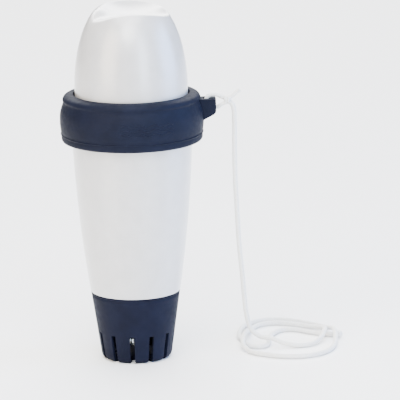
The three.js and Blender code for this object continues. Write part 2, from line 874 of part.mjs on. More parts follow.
// The hanging part, from the hitch to the floor, then two loose laps and the free end.
const cordRoute = [
  [69.3, 0, 180.9],
  [70.9, 0.1, 177.3],
  [71.3, 0.3, 168],
  [71.1, 0.8, 150],
  [71.2, 1.8, 129],
  [71.9, 3.2, 112],
  [72.7, 5, 92],
  [73.7, 7, 74],
  [75.3, 9.5, 56],
  [76.6, 12.5, 38],
  [78.4, 16, 22],
  [82, 18.6, 11.4],
  [88, 18, 7],
  [95, 15.8, 6.4],
  [104, 13.4, 3.4],
  [114, 11.4, 1.9],
  [124, 15, 1.9],
  [131, 25, 3.6],
  [134.6, 38, 6.4],
  [133, 51, 3.8],
  [124, 62, 1.9],
  [112, 69.6, 1.9],
  [99, 73, 1.9],
  [88.4, 68.5, 1.9],
  [82, 57, 2.2],
  [79.6, 45, 4],
  [77.6, 33, 6.3],
  [75.8, 21, 6.3],
  [75.4, 9, 3.6],
  [80.6, -2.6, 1.9],
  [92, -11.4, 1.9],
  [105, -16.4, 1.9],
  [118, -16, 1.9],
  [130, -9.4, 1.9],
  [138, 3.4, 1.9],
  [141.4, 20, 3.4],
  [141.2, 37, 6.4],
  [136.8, 53, 3.4],
  [128, 67, 1.9],
  [115, 77.4, 1.9],
  [101, 82.6, 1.9],
  [88, 80, 1.9],
  [78.4, 69, 1.9],
  [73.8, 53, 1.9],
  [73, 38, 1.9],
  [75.6, 26, 1.9],
  [78.2, 17.4, 1.9],
  [81, 12, 1.9],
  [86.2, 10, 1.9],
  [91.2, 12.4, 1.9],
  [93.4, 18.6, 1.9],
  [94, 29, 1.9],
  [97.4, 44, 1.9],
  [104.6, 54, 1.9],
  [115, 53.4, 1.9],
  [125, 46, 1.9],
  [133.4, 41.4, 1.9],
  [141.4, 38.4, 1.9],
];
const endKnot = [144.7, 37.2, 2.92];

const tailRoute = [
  [69.2, 0, 185.2],
  [72.2, 0, 187.6],
  [75.2, 0, 190],
];

// A knot: a ball, longer one way, with its middle at a point.
const knot = ([x, y, z], radius) =>
  new THREE.SphereGeometry(radius, knotSides, knotRows).rotateX(Math.PI / 2).translate(x, y, z);

place("tether_loop", cord(loopRoute, loopDiameter, loopSteps), braid);
place("tether_hitch", knot(hitch, hitchRadius), braid);
place("tether_tail", cord(tailRoute, tailDiameter, tailSteps), braid);
place("tether_cord", cord(cordRoute, cordDiameter, cordSteps), braid);
place("tether_end_knot", knot(endKnot, endKnotRadius), braid);

export default analyser;
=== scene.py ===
import math
import random

import bmesh
import bpy
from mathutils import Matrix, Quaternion, Vector


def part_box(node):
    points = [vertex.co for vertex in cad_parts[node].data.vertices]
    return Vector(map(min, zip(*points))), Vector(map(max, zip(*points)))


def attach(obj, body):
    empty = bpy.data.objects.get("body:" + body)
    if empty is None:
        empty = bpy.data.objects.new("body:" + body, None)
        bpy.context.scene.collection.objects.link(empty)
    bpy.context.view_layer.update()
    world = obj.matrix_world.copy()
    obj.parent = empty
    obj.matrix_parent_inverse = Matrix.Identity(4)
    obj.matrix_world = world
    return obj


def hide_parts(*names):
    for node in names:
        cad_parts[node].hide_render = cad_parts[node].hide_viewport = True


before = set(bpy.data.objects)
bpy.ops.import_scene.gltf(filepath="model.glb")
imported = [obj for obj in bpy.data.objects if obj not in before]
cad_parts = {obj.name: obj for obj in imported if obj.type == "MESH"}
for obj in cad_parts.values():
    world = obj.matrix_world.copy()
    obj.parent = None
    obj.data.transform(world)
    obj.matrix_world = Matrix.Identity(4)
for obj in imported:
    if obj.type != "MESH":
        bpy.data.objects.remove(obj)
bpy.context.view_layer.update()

MM = 0.001
random.seed(7)

# ---- Measures that come from the frame ---------------------------------------------------------

guard_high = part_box("sensor_guard")[1]
shell_low, shell_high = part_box("lower_shell")
dome_low, dome_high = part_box("upper_shell")
ring_low, ring_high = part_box("fastening_ring")
seal_low, seal_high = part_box("dome_o_ring")
gasket_low, gasket_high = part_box("guard_gasket")
bulkhead_low, bulkhead_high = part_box("sensor_bulkhead")

GAP = 0.3 * MM
FIT = 0.35 * MM
WALL = 2.4 * MM

# Sensor guard.
guard_top = guard_high.z
guard_rim = guard_high.x
GUARD_FOOT = 24.4 * MM
GUARD_FLOOR = 2.6 * MM
GUARD_ROUNDING = 4 * MM
SLOT_COUNT = 12
SLOT_WIDTH = 3.2 * MM
SLOT_TOP = 20 * MM
SLOT_START = 13 * MM
FIRST_SLOT = math.radians(-96)

# Lower shell.
body_floor = guard_top + GAP
body_top = ring_low.z
body_floor_radius = guard_rim + 0.2 * MM
BODY_TOP_RADIUS = 41.7 * MM
BODY_BULGE = 0.62
neck_bottom = shell_low.z
neck_radius = body_floor_radius - WALL - 1.5 * MM
neck_bore = neck_radius - WALL
flange_radius = shell_high.x
flange_bottom = body_top + 9 * MM
flange_top = flange_bottom + 4.2 * MM
collar_top = shell_high.z

# Dome.
dome_radius = dome_high.x
dome_bottom = collar_top + GAP
dome_shoulder = dome_bottom + 11.7 * MM
DOME_HEIGHT = 64.5 * MM
DOME_SQUARENESS = 2.5
SCOOP_RADIUS = 49 * MM
SCOOP_OFFSET = -4.5 * MM
SCOOP_TURN = math.radians(10)
scoop_floor = dome_shoulder + DOME_HEIGHT - 15 * MM
collar_bore = dome_radius - WALL
collar_radius = collar_bore + 3.3 * MM
spigot_radius = collar_bore - FIT
spigot_bottom = dome_low.z

# Bumper ring and lug.
ring_top = ring_high.z
ring_outer = -ring_low.x
ring_bore = BODY_TOP_RADIUS + FIT
lug_end = ring_high.x
LUG_WIDTH = 12 * MM
LUG_TOP_DROP = 5 * MM
LUG_DEPTH = 10.5 * MM
EYE_WIDTH = 4.6 * MM
CROSSBAR = 4.2 * MM

# Tether.
CORD_DIAMETER = 3.4 * MM

# The hanging part, from the hitch to the floor, then two loose laps and the free end.
CORD_ROUTE = [
    (0.0693, 0, 0.1809), (0.0709, 0.0001, 0.1773), (0.0713, 0.0003, 0.168), (0.0711, 0.0008, 0.15),
    (0.0712, 0.0018, 0.129), (0.0719, 0.0032, 0.112), (0.0727, 0.005, 0.092), (0.0737, 0.007, 0.074),
    (0.0753, 0.0095, 0.056), (0.0766, 0.0125, 0.038), (0.0784, 0.016, 0.022), (0.082, 0.0186, 0.0114),
    (0.088, 0.018, 0.007), (0.095, 0.0158, 0.0064), (0.104, 0.0134, 0.0034), (0.114, 0.0114, 0.0019),
    (0.124, 0.015, 0.0019), (0.131, 0.025, 0.0036), (0.1346, 0.038, 0.0064), (0.133, 0.051, 0.0038),
    (0.124, 0.062, 0.0019), (0.112, 0.0696, 0.0019), (0.099, 0.073, 0.0019), (0.0884, 0.0685, 0.0019),
    (0.082, 0.057, 0.0022), (0.0796, 0.045, 0.004), (0.0776, 0.033, 0.0063), (0.0758, 0.021, 0.0063),
    (0.0754, 0.009, 0.0036), (0.0806, -0.0026, 0.0019), (0.092, -0.0114, 0.0019), (0.105, -0.0164, 0.0019),
    (0.118, -0.016, 0.0019), (0.13, -0.0094, 0.0019), (0.138, 0.0034, 0.0019), (0.1414, 0.02, 0.0034),
    (0.1412, 0.037, 0.0064), (0.1368, 0.053, 0.0034), (0.128, 0.067, 0.0019), (0.115, 0.0774, 0.0019),
    (0.101, 0.0826, 0.0019), (0.088, 0.08, 0.0019), (0.0784, 0.069, 0.0019), (0.0738, 0.053, 0.0019),
    (0.073, 0.038, 0.0019), (0.0756, 0.026, 0.0019), (0.0782, 0.0174, 0.0019), (0.081, 0.012, 0.0019),
    (0.0862, 0.01, 0.0019), (0.0912, 0.0124, 0.0019), (0.0934, 0.0186, 0.0019), (0.094, 0.029, 0.0019),
    (0.0974, 0.044, 0.0019), (0.1046, 0.054, 0.0019), (0.115, 0.0534, 0.0019), (0.125, 0.046, 0.0019),
    (0.1334, 0.0414, 0.0019), (0.1414, 0.0384, 0.0019),
]
END_KNOT = Vector((0.1447, 0.0372, 0.00292))
HITCH = Vector((0.0666, 0, 0.183))
LOOP_ROUTE = [
    (0.0629, 0.001, 0.185), (0.0602, 0.0006, 0.1864), (0.0566, 0, 0.187), (0.0532, 0, 0.1859),
    (0.0519, 0, 0.1826), (0.0527, 0, 0.179), (0.0556, 0, 0.1776), (0.0592, -0.0004, 0.1779),
    (0.0624, -0.001, 0.1798),
]
TAIL_ROUTE = [(0.0692, 0, 0.1852), (0.0722, 0, 0.1876), (0.0752, 0, 0.19)]


# ---- Camera ------------------------------------------------------------------------------------

def make_camera():
    """A long lens 2.2 m away, 13 degrees above the horizon, with the slight roll of a hand-held shot."""
    elevation = math.radians(13)
    distance = 2.2
    look_at = Vector((0.0464, 0, 0.1118))
    back = Vector((0, -math.cos(elevation), math.sin(elevation)))
    camera = bpy.data.objects.new("camera", bpy.data.cameras.new("camera"))
    camera.data.sensor_width = 36
    camera.data.lens = 282.9
    camera.location = look_at + back * distance
    roll = Quaternion((0, 0, 1), math.radians(-1))
    camera.rotation_mode = "QUATERNION"
    camera.rotation_quaternion = (-back).to_track_quat("-Z", "Y") @ roll
    bpy.context.scene.collection.objects.link(camera)
    bpy.context.scene.camera = camera


make_camera()


# ---- Geometry helpers --------------------------------------------------------------------------

TURN = 2 * math.pi
CORNER = math.radians(20)
BEND_STEPS = 4


def rounded(outline, radius, closed=True):
    """An outline of points in a plane whose sharp corners are rounded. Corners on the axis stay, and so do
    the two ends of an open one."""
    result = []
    for i, point in enumerate(outline):
        here = Vector(point)
        into = here - Vector(outline[i - 1])
        out = Vector(outline[(i + 1) % len(outline)]) - here
        is_end = not closed and i in (0, len(outline) - 1)
        if is_end or here.x == 0 or into.angle(out) < CORNER:
            result.append(tuple(here))
            continue
        reach = min(radius, 0.45 * into.length, 0.45 * out.length)
        start = here - into.normalized() * reach
        end = here + out.normalized() * reach
        for step in range(BEND_STEPS + 1):
            t = step / BEND_STEPS
            result.append(tuple(start * (1 - t) ** 2 + here * 2 * t * (1 - t) + end * t * t))
    return result


def lathe(outline, sides=160):
    """Vertices and faces of a closed outline turned round Z. A point is a (radius, height) pair or a
    function of the angle that returns one; a fixed point on the axis makes one vertex."""
    vertices = []
    rings = []
    for point in outline:
        if not callable(point) and point[0] == 0:
            rings.append([len(vertices)])
            vertices.append((0, 0, point[1]))
            continue
        first = len(vertices)
        for i in range(sides):
            angle = TURN * i / sides
            r, z = point(angle) if callable(point) else point
            vertices.append((r * math.cos(angle), r * math.sin(angle), z))
        rings.append(list(range(first, first + sides)))
    faces = []
    for a, b in zip(rings, rings[1:] + rings[:1]):
        if len(a) == 1 and len(b) == 1:
            continue
        for i in range(sides):
            j = (i + 1) % sides
            if len(a) == 1:
                faces.append((a[0], b[j], b[i]))
            elif len(b) == 1:
                faces.append((a[i], a[j], b[0]))
            else:
                faces.append((a[i], a[j], b[j], b[i]))
    return vertices, faces


def smooth_line(points, per_span=12):
    """Points along a smooth curve through the given ones, a centripetal Catmull-Rom curve."""
    spots = [Vector(p) for p in points]
    spots = [2 * spots[0] - spots[1], *spots, 2 * spots[-1] - spots[-2]]
    line = []
    for p0, p1, p2, p3 in zip(spots, spots[1:], spots[2:], spots[3:]):
        t0 = 0
        t1 = t0 + math.sqrt((p1 - p0).length)
        t2 = t1 + math.sqrt((p2 - p1).length)
        t3 = t2 + math.sqrt((p3 - p2).length)
        for step in range(per_span):
            t = t1 + (t2 - t1) * step / per_span
            a1 = p0.lerp(p1, (t - t0) / (t1 - t0))
            a2 = p1.lerp(p2, (t - t1) / (t2 - t1))
            a3 = p2.lerp(p3, (t - t2) / (t3 - t2))
            b1 = a1.lerp(a2, (t - t0) / (t2 - t0))
            b2 = a2.lerp(a3, (t - t1) / (t3 - t1))
            line.append(b1.lerp(b2, (t - t1) / (t2 - t1)))
    line.append(spots[-2])
    return line


def even_line(line, step):
    """The same line as points an even distance apart, about step."""
    lengths = [0]
    for a, b in zip(line, line[1:]):
        lengths.append(lengths[-1] + (b - a).length)
    count = max(2, round(lengths[-1] / step))
    result = []
    span = 0
    for i in range(count + 1):
        wanted = lengths[-1] * i / count
        while span < len(line) - 2 and lengths[span + 1] < wanted:
            span += 1
        share = (wanted - lengths[span]) / (lengths[span + 1] - lengths[span])
        result.append(line[span].lerp(line[span + 1], min(1, share)))
    return result


STRANDS = 4
PLAIT_LENGTH = 5.2 * MM


def plait(along, angle):
    """How far a braid's surface stands out, from 0 to 1: strands wind both ways and pass over and under."""
    right = math.cos(STRANDS * angle + TURN * along / PLAIT_LENGTH)
    left = math.cos(STRANDS * angle - TURN * along / PLAIT_LENGTH)
    return max(abs(right), abs(left)) ** 0.8


def tube(line, radius, sides=28, relief=0.0, end_share=0.35):
    """A round bar along a line, with closed domed ends and the relief of a braid."""
    vertices = []
    faces = []
    tangent = (line[1] - line[0]).normalized()
    side = tangent.orthogonal().normalized()
    along = 0
    last = len(line) - 1
    for i, spot in enumerate(line):
        if i:
            along += (spot - line[i - 1]).length
        new_tangent = (line[min(i + 1, last)] - line[max(i - 1, 0)]).normalized()
        side = tangent.rotation_difference(new_tangent) @ side
        side = (side - new_tangent * side.dot(new_tangent)).normalized()
        tangent = new_tangent
        up = tangent.cross(side)
        for j in range(sides):
            angle = TURN * j / sides
            stand = radius - relief * (1 - plait(along, angle)) if relief else radius
            vertices.append(spot + (side * math.cos(angle) + up * math.sin(angle)) * stand)
    rings = [list(range(i * sides, (i + 1) * sides)) for i in range(len(line))]
    for a, b in zip(rings, rings[1:]):
        for j in range(sides):
            k = (j + 1) % sides
            faces.append((a[j], a[k], b[k], b[j]))
    for ring, spot, outward in (
        (rings[0], line[0], line[0] - line[1]),
        (rings[-1], line[-1], line[-1] - line[-2]),
    ):
        outward = outward.normalized() * radius * end_share
        middle = []
        for v in ring:
            middle.append(len(vertices))
            vertices.append(spot.lerp(vertices[v], 0.7) + outward * 0.7)
        tip = len(vertices)
        vertices.append(spot + outward)
        for j in range(sides):
            k = (j + 1) % sides
            faces.append((ring[j], ring[k], middle[k], middle[j]))
            faces.append((middle[j], middle[k], tip))
    return [tuple(v) for v in vertices], faces


def new_piece(name, shape, material, body, replaced=(), sharp=35):
    """A mesh object from (vertices, faces) with its normals outward, riding on a body."""
    vertices, faces = shape
    mesh = bpy.data.meshes.new(name)
    mesh.from_pydata(vertices, [], faces)
    work = bmesh.new()
    work.from_mesh(mesh)
    bmesh.ops.recalc_face_normals(work, faces=work.faces)
    work.to_mesh(mesh)
    work.free()
    mesh.shade_smooth()
    mesh.set_sharp_from_angle(angle=math.radians(sharp))
    mesh.materials.append(material)
    piece = bpy.data.objects.new(name, mesh)
    bpy.context.scene.collection.objects.link(piece)
    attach(piece, body)
    if replaced:
        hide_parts(*replaced)
    return piece


# ---- Materials ---------------------------------------------------------------------------------

def shader_of(made):
    return made.node_tree.nodes["Principled BSDF"]


def add_node(made, kind, **inputs):
    """A shader node with its unlinked inputs set by name."""
    node = made.node_tree.nodes.new(kind)
    for name, value in inputs.items():
        node.inputs[name.replace("_", " ")].default_value = value
    return node


def place_coordinates(made):
    return made.node_tree.nodes.new("ShaderNodeTexCoord").outputs["Object"]


def noise(made, size, detail=3.0, roughness=0.5):
    """A noise texture whose features are about size metres across."""
    node = add_node(made, "ShaderNodeTexNoise", Scale=1 / size, Detail=detail, Roughness=roughness)
    made.node_tree.links.new(place_coordinates(made), node.inputs["Vector"])
    return node.outputs["Fac"]


def spread(made, source, low, high):
    """Maps the middle of a texture's range to low..high."""
    node = add_node(made, "ShaderNodeMapRange", From_Min=0.3, From_Max=0.7, To_Min=low, To_Max=high)
    made.node_tree.links.new(source, node.inputs["Value"])
    return node.outputs["Result"]


def vary_color(made, first, second, source):
    """The base colour wanders between two colours."""
    mix = made.node_tree.nodes.new("ShaderNodeMix")
    mix.data_type = "RGBA"
    colors = [socket for socket in mix.inputs if socket.type == "RGBA"]
    colors[0].default_value = (*first, 1)
    colors[1].default_value = (*second, 1)
    made.node_tree.links.new(spread(made, source, 0.0, 1.0), mix.inputs["Factor"])
    result = [socket for socket in mix.outputs if socket.type == "RGBA"][0]
    made.node_tree.links.new(result, shader_of(made).inputs["Base Color"])


def vary_roughness(made, low, high, source):
    made.node_tree.links.new(spread(made, source, low, high), shader_of(made).inputs["Roughness"])


def add_bump(made, source, depth, strength=1.0):
    """Relief of about depth metres, on top of any bump that the material has."""
    bump = add_node(made, "ShaderNodeBump", Strength=strength, Distance=depth)
    links = made.node_tree.links
    links.new(source, bump.inputs["Height"])
    normal = shader_of(made).inputs["Normal"]
    if normal.is_linked:
        links.new(normal.links[0].from_socket, bump.inputs["Normal"])
    links.new(bump.outputs["Normal"], normal)


def make_material(name, color, roughness, **settings):
    """A Principled material; settings are further socket values by name."""
    made = bpy.data.materials.new(name)
    made.use_nodes = True
    shader = shader_of(made)
    shader.inputs["Base Color"].default_value = (*color, 1)
    shader.inputs["Roughness"].default_value = roughness
    for socket, value in settings.items():
        shader.inputs[socket.replace("_", " ")].default_value = value
    return made


def pearl_material():
    """Pearl-white moulded plastic: a satin body with a clear skin and the faint swirl of its pigment."""
    made = make_material(
        "pearl_white", (0.41, 0.41, 0.42), 0.36, Coat_Weight=1.0, Coat_Roughness=0.28, Coat_IOR=1.75
    )
    vary_color(made, (0.39, 0.39, 0.40), (0.43, 0.43, 0.44), noise(made, 9 * MM))
    vary_roughness(made, 0.33, 0.4, noise(made, 4 * MM, 5.0))
    add_bump(made, noise(made, 0.6 * MM, 2.0), 0.004 * MM)
    return made


def navy_material(name, base, light, rough, grain, depth):
    """Navy polymer with an eroded moulding grain, scuffed a little paler in places."""
    made = make_material(name, base, rough, Specular_IOR_Level=0.05)
    vary_color(made, base, light, noise(made, 14 * MM, 4.0))
    vary_roughness(made, rough - 0.05, rough + 0.07, noise(made, 3 * MM, 4.0))
    add_bump(made, noise(made, grain, 2.0), depth)
    return made


def braid_material():
    """White polyester braid: fine fibres, soft sheen and a trace of dirt in the valleys."""
    made = make_material("white_braid", (0.65, 0.65, 0.64), 0.82, Sheen_Weight=0.35, Sheen_Roughness=0.5)
    vary_color(made, (0.60, 0.60, 0.59), (0.70, 0.70, 0.695), noise(made, 1.1 * MM, 5.0))
    add_bump(made, noise(made, 0.14 * MM, 2.0), 0.03 * MM)
    return made


def plain_material(name, first, second, rough, grain=0.5 * MM, depth=0.01 * MM, **settings):
    """A moulded, coated or ground surface: two near colours, patchy gloss and a fine grain."""
    made = make_material(name, first, rough, **settings)
    vary_color(made, first, second, noise(made, 6 * MM, 4.0))
    vary_roughness(made, max(0.05, rough - 0.06), rough + 0.08, noise(made, 2 * MM, 4.0))
    add_bump(made, noise(made, grain, 2.0), depth)
    return made


pearl = pearl_material()
navy_ring = navy_material(
    "navy_elastomer", (0.0036, 0.0046, 0.0105), (0.0048, 0.0063, 0.0145), 0.56, 0.35 * MM, 0.02 * MM
)
navy_guard = navy_material(
    "navy_plastic", (0.0034, 0.0044, 0.0110), (0.0046, 0.0060, 0.0150), 0.58, 0.3 * MM, 0.012 * MM
)
braid = braid_material()
graphite = plain_material("graphite_plastic", (0.022, 0.024, 0.028), (0.030, 0.032, 0.037), 0.45)
seal = plain_material("seal_rubber", (0.012, 0.012, 0.013), (0.020, 0.020, 0.021), 0.62)
steel = plain_material("bright_steel", (0.56, 0.57, 0.58), (0.64, 0.65, 0.66), 0.26, Metallic=1.0)
gilt = plain_material("gilt_contact", (0.80, 0.58, 0.24), (0.86, 0.65, 0.32), 0.25, Metallic=1.0)
iron = plain_material(
    "lacquered_iron", (0.10, 0.11, 0.12), (0.16, 0.17, 0.18), 0.5, 0.8 * MM, 0.06 * MM, Metallic=0.7
)
mask_green = plain_material("solder_mask", (0.010, 0.095, 0.045), (0.014, 0.120, 0.058), 0.3, Coat_Weight=0.4)
epoxy = plain_material("moulded_epoxy", (0.012, 0.012, 0.014), (0.020, 0.020, 0.022), 0.4)
sleeve = plain_material("cell_sleeve", (0.030, 0.130, 0.300), (0.036, 0.150, 0.330), 0.22, Coat_Weight=0.5)
ceramic = plain_material("porous_ceramic", (0.70, 0.66, 0.58), (0.80, 0.77, 0.70), 0.85, 0.3 * MM, 0.08 * MM)
ceramic_brown = plain_material("chip_ceramic", (0.30, 0.19, 0.10), (0.36, 0.24, 0.14), 0.5)
film = plain_material("ribbon_film", (0.36, 0.38, 0.41), (0.42, 0.44, 0.47), 0.4)
clear = make_material("clear_glass", (0.86, 0.93, 0.95), 0.04, Transmission_Weight=0.9, IOR=1.47)
add_bump(clear, noise(clear, 2 * MM), 0.01 * MM)


# ---- Tether ------------------------------------------------------------------------------------

BRAID_RELIEF = 0.24 * MM


def joined(*shapes):
    """Several (vertices, faces) shapes as one."""
    vertices = []
    faces = []
    for more_vertices, more_faces in shapes:
        first = len(vertices)
        vertices += more_vertices
        faces += [tuple(first + v for v in face) for face in more_faces]
    return vertices, faces


def strand(points, diameter, step=0.5 * MM):
    """A braided strand along a smooth curve through the points."""
    return tube(even_line(smooth_line(points), step), diameter / 2, relief=BRAID_RELIEF)


def hitch_shape():
    """Two turns of cord whipped round the strands that come together in the hitch."""
    wraps = 2.25
    wrap_radius = 2.15 * MM
    wrap_diameter = 2.1 * MM
    steps = 40
    coil = []
    for i in range(steps + 1):
        share = i / steps
        angle = TURN * wraps * share
        offset = Vector((
            (share - 0.5) * wraps * wrap_diameter * 0.9,
            wrap_radius * math.cos(angle),
            wrap_radius * math.sin(angle),
        ))
        coil.append(HITCH + offset)
    half = 1.2 * MM
    upper = [LOOP_ROUTE[0], HITCH + Vector((0, half, half / 2)), CORD_ROUTE[0]]
    lower = [LOOP_ROUTE[-1], HITCH - Vector((0, half, half / 2)), TAIL_ROUTE[0]]
    return joined(strand(coil, wrap_diameter), strand(upper, 2.8 * MM), strand(lower, 2.6 * MM))


def end_knot_shape():
    """An overhand knot pulled tight in the free end: a small trefoil, with a stub of the end."""
    reach = 0.52 * MM
    lift = 0.95 * MM
    steps = 60
    points = []
    for i in range(steps + 1):
        t = TURN * i / steps
        offset = Vector((math.sin(t) + 2 * math.sin(2 * t), math.cos(t) - 2 * math.cos(2 * t), 0)) * reach
        points.append(END_KNOT + offset + Vector((0, 0, -math.sin(3 * t) * lift)))
    return strand(points, 2.5 * MM)


def make_tether():
    line = even_line(smooth_line(CORD_ROUTE), 0.5 * MM)
    body = "collar"
    cord = new_piece(
        "tether_line", tube(line, CORD_DIAMETER / 2, relief=BRAID_RELIEF), braid, body, ["tether_cord"]
    )
    others = [
        new_piece("tether_eye_loop", strand(LOOP_ROUTE, 3 * MM), braid, body, ["tether_loop"]),
        new_piece("tether_hitch_wraps", hitch_shape(), braid, body, ["tether_hitch"]),
        new_piece("tether_short_end", strand(TAIL_ROUTE, 2.8 * MM), braid, body, ["tether_tail"]),
        new_piece("tether_stopper_knot", end_knot_shape(), braid, body, ["tether_end_knot"]),
    ]


make_tether()


# ---- Dome --------------------------------------------------------------------------------------

def dome_outer(z, radius=dome_radius, height=DOME_HEIGHT):
    """The dome's radius at a height: a superellipse that is squarer than a ball."""
    share = min(1, max(0, (z - dome_shoulder) / height))
    return radius * (1 - share * share) ** (1 / DOME_SQUARENESS)


def dome_surface(r):
    return dome_shoulder + DOME_HEIGHT * math.sqrt(1 - (r / dome_radius) ** DOME_SQUARENESS)


def scoop_surface(r, angle):
    """The height of the finger scoop, a shallow trough across the dome's top that turns up at its back."""
    across = r * math.sin(angle - SCOOP_TURN) - SCOOP_OFFSET
    along = r * math.cos(angle - SCOOP_TURN)
    behind = min(1, max(0, (across + 4 * MM) / (14 * MM)))
    behind = behind * behind * (3 - 2 * behind)
    flare = behind * along ** 2 / (78 * MM) * (1 if along < 0 else 0.5)
    return scoop_floor + SCOOP_RADIUS - math.sqrt(SCOOP_RADIUS ** 2 - across ** 2) + flare


def rim_radius(angle):
    """Where the scoop meets the dome."""
    low, high = 0, dome_radius
    for _ in range(40):
        middle = (low + high) / 2
        if dome_surface(middle) > scoop_surface(middle, angle):
            low = middle
        else:
            high = middle
    return low


def rim_softness(angle):
    """The rim's edge is crisp, but melts into the dome at the scoop's left end."""
    crisp = 0.9 * MM
    soft = 5 * MM
    towards_left = max(0, math.cos(angle - math.radians(194)))
    return crisp + soft * towards_left ** 4


def groove(radius, middle):
    """A seal's groove in a round plug, as points going up at the plug's radius."""
    half = 1.1 * MM
    floor = radius - 2.05 * MM
    return [(radius, middle - half), (floor, middle - half), (floor, middle + half), (radius, middle + half)]


def make_dome():
    scoop_rows = 16
    edge_rows = 6
    wall_rows = 34
    inner_rows = 16
    inner_top = scoop_floor - 3.2 * MM

    def scoop_row(share):
        def at(angle):
            r = (rim_radius(angle) - rim_softness(angle)) * share
            return r, scoop_surface(r, angle)
        return at

    def edge_ends(angle):
        rim = rim_radius(angle)
        soft = rim_softness(angle)
        inside = Vector((rim - soft, scoop_surface(rim - soft, angle)))
        corner = Vector((rim, dome_surface(rim)))
        z = corner.y - soft
        return inside, corner, Vector((dome_outer(z), z))

    def edge_row(t):
        def at(angle):
            inside, corner, outside = edge_ends(angle)
            return tuple(inside * (1 - t) ** 2 + corner * 2 * t * (1 - t) + outside * t * t)
        return at

    def wall_row(share):
        def at(angle):
            top = edge_ends(angle)[2].y
            z = top + (dome_shoulder - top) * share
            return dome_outer(z), z
        return at

    inner_radius = dome_radius - WALL
    inner_height = DOME_HEIGHT - WALL
    lining = []
    for i in range(inner_rows + 1):
        z = inner_top + (dome_shoulder - inner_top) * i / inner_rows
        lining.append((dome_outer(z, inner_radius, inner_height), z))
    spigot_bore = spigot_radius - WALL
    seal_height = (seal_low.z + seal_high.z) / 2
    skirt = rounded([
        (0, inner_top), *lining, (spigot_bore, dome_bottom + 2 * WALL), (spigot_bore, spigot_bottom),
        (spigot_radius, spigot_bottom), *groove(spigot_radius, seal_height), (spigot_radius, dome_bottom),
        (dome_radius, dome_bottom), (dome_radius, dome_shoulder),
    ], 0.4 * MM, closed=False)
    outline = [(0, scoop_surface(0, 0))]
    outline += [scoop_row((i + 1) / scoop_rows) for i in range(scoop_rows)]
    outline += [edge_row((i + 1) / edge_rows) for i in range(edge_rows)]
    outline += [wall_row((i + 1) / wall_rows) for i in range(wall_rows)]
    outline += skirt[-2::-1]
    new_piece("dome_shell", lathe(outline, 192), pearl, "dome", ["upper_shell"])


make_dome()


# ---- Lower shell -------------------------------------------------------------------------------

def body_outer(z):
    """The body's radius at a height: a straight taper with a barrel bulge."""
    share = (z - body_floor) / (body_top - body_floor)
    rise = share * (1 + BODY_BULGE * (1 - share))
    return body_floor_radius + (BODY_TOP_RADIUS - body_floor_radius) * rise


def flank(radius_at, start, end, steps):
    heights = [start + (end - start) * i / steps for i in range(steps + 1)]
    return [(radius_at(z), z) for z in heights]


def make_lower_shell():
    taper_top = flange_bottom - 2 * MM
    shoulder_top = body_floor + 4 * MM

    def inner(z):
        return body_outer(z) - WALL

    outline = rounded([
        (neck_bore, neck_bottom), (neck_radius, neck_bottom), (neck_radius, body_floor),
        *flank(body_outer, body_floor, body_top, 48),
        (BODY_TOP_RADIUS, flange_bottom), (flange_radius, flange_bottom), (flange_radius, flange_top),
        (collar_radius, flange_top), (collar_radius, collar_top), (collar_bore, collar_top),
        (collar_bore, taper_top), (inner(body_top) - WALL, taper_top - WALL),
        *flank(inner, body_top - 2 * WALL, shoulder_top, 20), (neck_bore, shoulder_top),
    ], 0.45 * MM)
    new_piece("body_shell", lathe(outline, 192), pearl, "hull", ["lower_shell"])


make_lower_shell()


# ---- Sensor guard ------------------------------------------------------------------------------

def guard_outer(z):
    return GUARD_FOOT + (guard_rim - GUARD_FOOT) * z / guard_top


